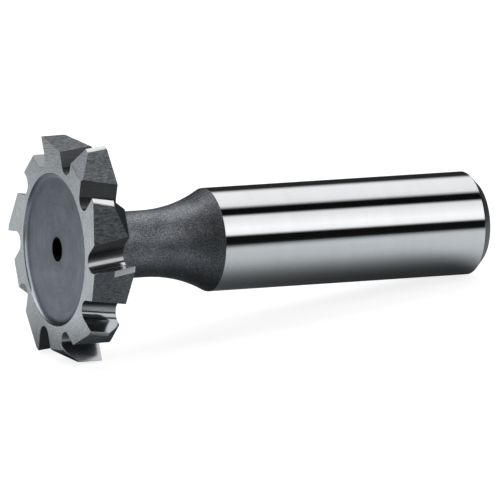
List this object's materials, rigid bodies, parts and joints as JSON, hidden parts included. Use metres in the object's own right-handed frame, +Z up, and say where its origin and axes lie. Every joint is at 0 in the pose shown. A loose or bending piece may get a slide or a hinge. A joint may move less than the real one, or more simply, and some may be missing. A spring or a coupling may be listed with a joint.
{
  "type": "woodruff keyseat cutter",
  "caption": "Shank-type keyseat cutter: a thin disc head with staggered side-and-face teeth on a slim flared neck and a plain round shank.",
  "frame": {"origin": "on the surface that the tool lies on, under the middle of its bounding box", "axes": "+X along the tool from the head to the shank end, which lies lower, +Z up"},
  "size_m": [0.0582, 0.0278, 0.0268],
  "materials": {
    "tool_steel": "ground head and shank, dark blasted neck"
  },
  "bodies": {
    "root": {"keyseat_cutter": "tool_steel"}
  },
  "joints": []
}
